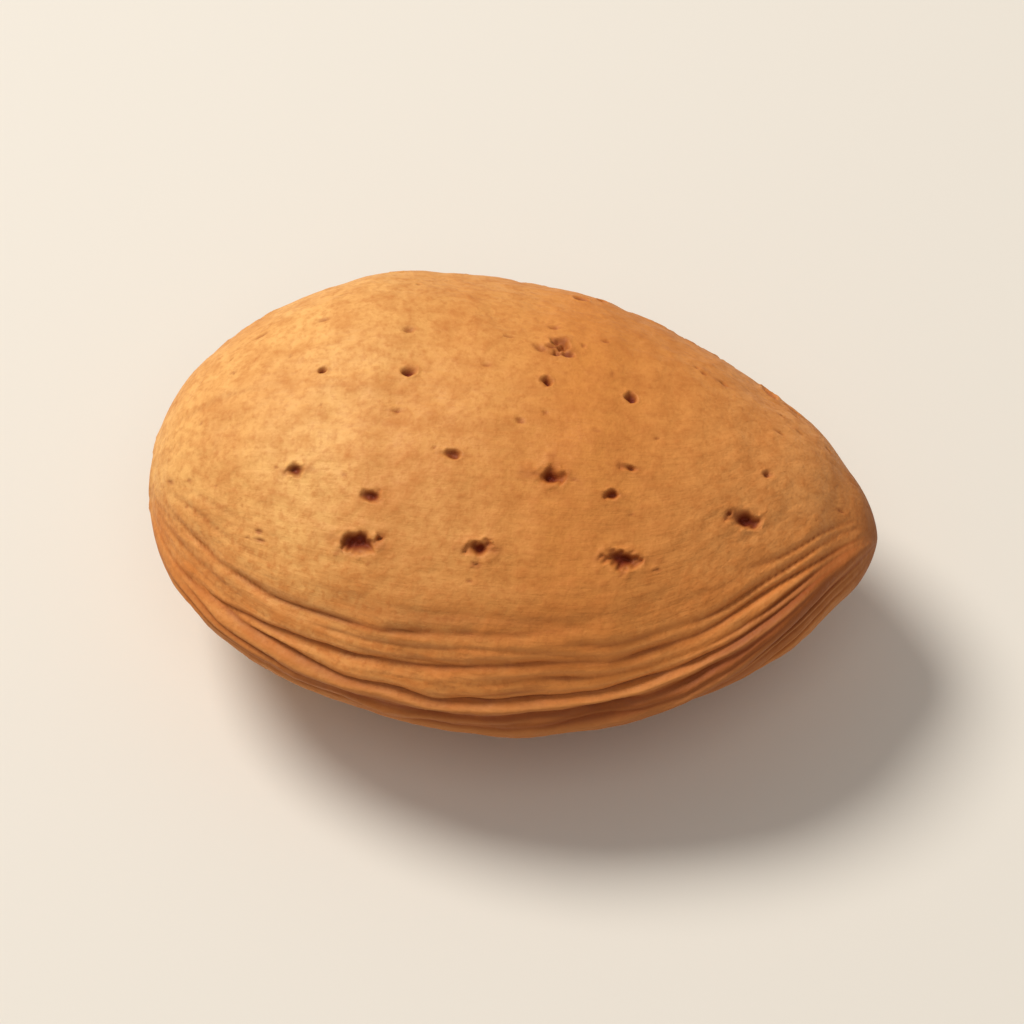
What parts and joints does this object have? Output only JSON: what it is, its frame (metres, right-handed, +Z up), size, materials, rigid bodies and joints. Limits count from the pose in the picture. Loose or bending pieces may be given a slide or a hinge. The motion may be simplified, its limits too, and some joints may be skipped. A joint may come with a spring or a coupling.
{
  "type": "almond in its shell",
  "caption": "Whole almond in its smooth, pitted tan shell: blunt stem end, pointed tip, furrowed seam along one edge, lying on a broad face.",
  "frame": {"origin": "on the surface it rests on, under the middle of its bounding box", "axes": "+X from the blunt stem end to the pointed tip, +Z up through the two broad faces, -Y towards the seam edge"},
  "size_m": [0.0372, 0.0258, 0.017],
  "materials": {
    "shell": "matte"
  },
  "bodies": {
    "root": {"almond": "shell"}
  },
  "joints": []
}
